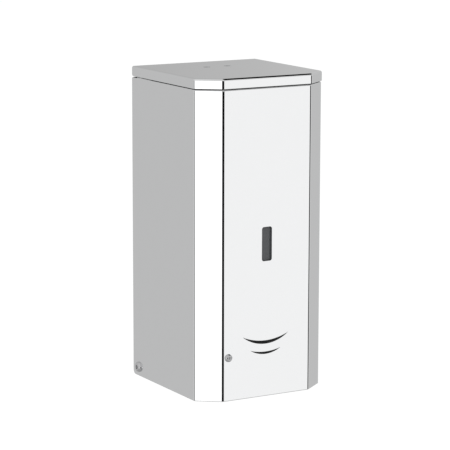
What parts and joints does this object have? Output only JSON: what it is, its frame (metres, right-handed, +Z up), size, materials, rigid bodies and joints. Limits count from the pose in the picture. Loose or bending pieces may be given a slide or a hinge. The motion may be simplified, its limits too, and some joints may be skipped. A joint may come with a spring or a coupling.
{
  "type": "wall mounted soap dispenser",
  "caption": "Touchless wall mounted soap dispenser: folded mirror steel cover with front bevels, hinged filling lid, level window, gear pump and downward nozzle.",
  "frame": {"origin": "middle of the four wall screws, on the wall plane (the rear face of the back plate)", "axes": "+X to the right seen from the front, +Y into the wall, +Z up; the front faces -Y"},
  "size_m": [0.132, 0.1303, 0.28],
  "materials": {
    "steel_plate": "brushed stainless sheet",
    "mirror_steel": "mirror polished stainless sheet",
    "black_fill": "etched and filled black",
    "window_clear": "smoked clear acrylic",
    "fastener_steel": "stainless screws",
    "tank_plastic": "natural polyethylene",
    "black_rubber": "soft black",
    "silicone": "translucent silicone",
    "red_silicone": "silicone",
    "spring_steel": "drawn steel",
    "dark_plastic": "moulded black",
    "pump_plastic": "glass filled nylon",
    "gear_plastic": "acetal",
    "cell_jacket": "plain shrink jacket",
    "sensor_glass": "infra-red window",
    "lamp_lens": "clear green",
    "circuit_board": "solder mask",
    "chip_black": "moulded parts",
    "pale_plastic": "moulded",
    "magnet": "nickel plated",
    "wire_jacket": "PVC leads"
  },
  "bodies": {
    "housing": {"back_plate": "steel_plate", "nut_rivets": "fastener_steel", "tank_shelf": "steel_plate", "shelf_screws": "fastener_steel", "base_plate": "steel_plate", "base_screws": "fastener_steel", "cover_shell": "mirror_steel", "arc_marks": "black_fill", "level_window": "window_clear", "side_screws": "fastener_steel", "front_screw": "fastener_steel", "front_bracket": "steel_plate", "front_nut": "fastener_steel", "tank": "tank_plastic", "outlet_seal": "black_rubber", "outlet_nut": "dark_plastic", "inlet_hose": "silicone", "outlet_hose": "silicone", "hose_clips": "spring_steel", "nozzle": "dark_plastic", "nozzle_nut": "dark_plastic", "drip_valve": "red_silicone", "pump_bracket": "steel_plate", "pump_housing": "pump_plastic", "pump_gasket": "black_rubber", "pump_cover": "pump_plastic", "pump_screws": "fastener_steel", "idler_pin": "spring_steel", "motor_can": "spring_steel", "motor_cap": "dark_plastic", "battery_box": "dark_plastic", "battery_cells": "cell_jacket", "battery_contacts": "spring_steel", "door_pin": "spring_steel", "sensor_housing": "dark_plastic", "sensor_lenses": "sensor_glass", "indicator_lamp": "lamp_lens", "control_board": "circuit_board", "board_parts": "chip_black", "board_screws": "fastener_steel", "switch_body": "dark_plastic", "wires": "wire_jacket", "latch_bridge": "steel_plate", "latch_housing": "dark_plastic", "latch_spring": "spring_steel"},
    "lid": {"lid": "mirror_steel", "lid_leaf": "spring_steel", "hinge_pins": "spring_steel", "lid_seal": "black_rubber", "keeper_plate": "spring_steel", "lid_bumpers": "black_rubber"},
    "latch": {"latch_slide": "pale_plastic", "latch_magnets": "magnet"},
    "battery_door": {"battery_door": "dark_plastic"},
    "switch_knob": {"switch_knob": "pale_plastic"},
    "pump_drive": {"drive_gear": "gear_plastic", "motor_shaft": "spring_steel"},
    "pump_idler": {"idler_gear": "gear_plastic"}
  },
  "joints": [
    {"name": "lid_hinge", "type": "hinge", "parent": "housing", "child": "lid", "pos_m": [0, -0.0062, 0.136], "axis": [-1, 0, 0], "range_deg": [0, 90]},
    {"name": "latch_push", "type": "slide", "parent": "housing", "child": "latch", "axis": [0, 0, -1], "range_m": [0, 0.003], "stiffness_N_per_m": 300, "springref_m": -0.002, "deforming": ["latch_spring"]},
    {"name": "battery_door_hinge", "type": "hinge", "parent": "housing", "child": "battery_door", "pos_m": [0, -0.0185, -0.1366], "axis": [1, 0, 0], "range_deg": [0, 90]},
    {"name": "power_switch", "type": "slide", "parent": "housing", "child": "switch_knob", "axis": [1, 0, 0], "range_m": [0, 0.004]},
    {"name": "pump_spin", "type": "hinge", "parent": "housing", "child": "pump_drive", "pos_m": [0, -0.086, -0.074], "axis": [1, 0, 0], "continuous": true},
    {"name": "idler_spin", "type": "hinge", "parent": "housing", "child": "pump_idler", "pos_m": [0, -0.098, -0.074], "axis": [1, 0, 0], "continuous": true}
  ],
  "couplings": [
    {"joint": "idler_spin", "follows": "pump_spin", "ratio": -1}
  ]
}
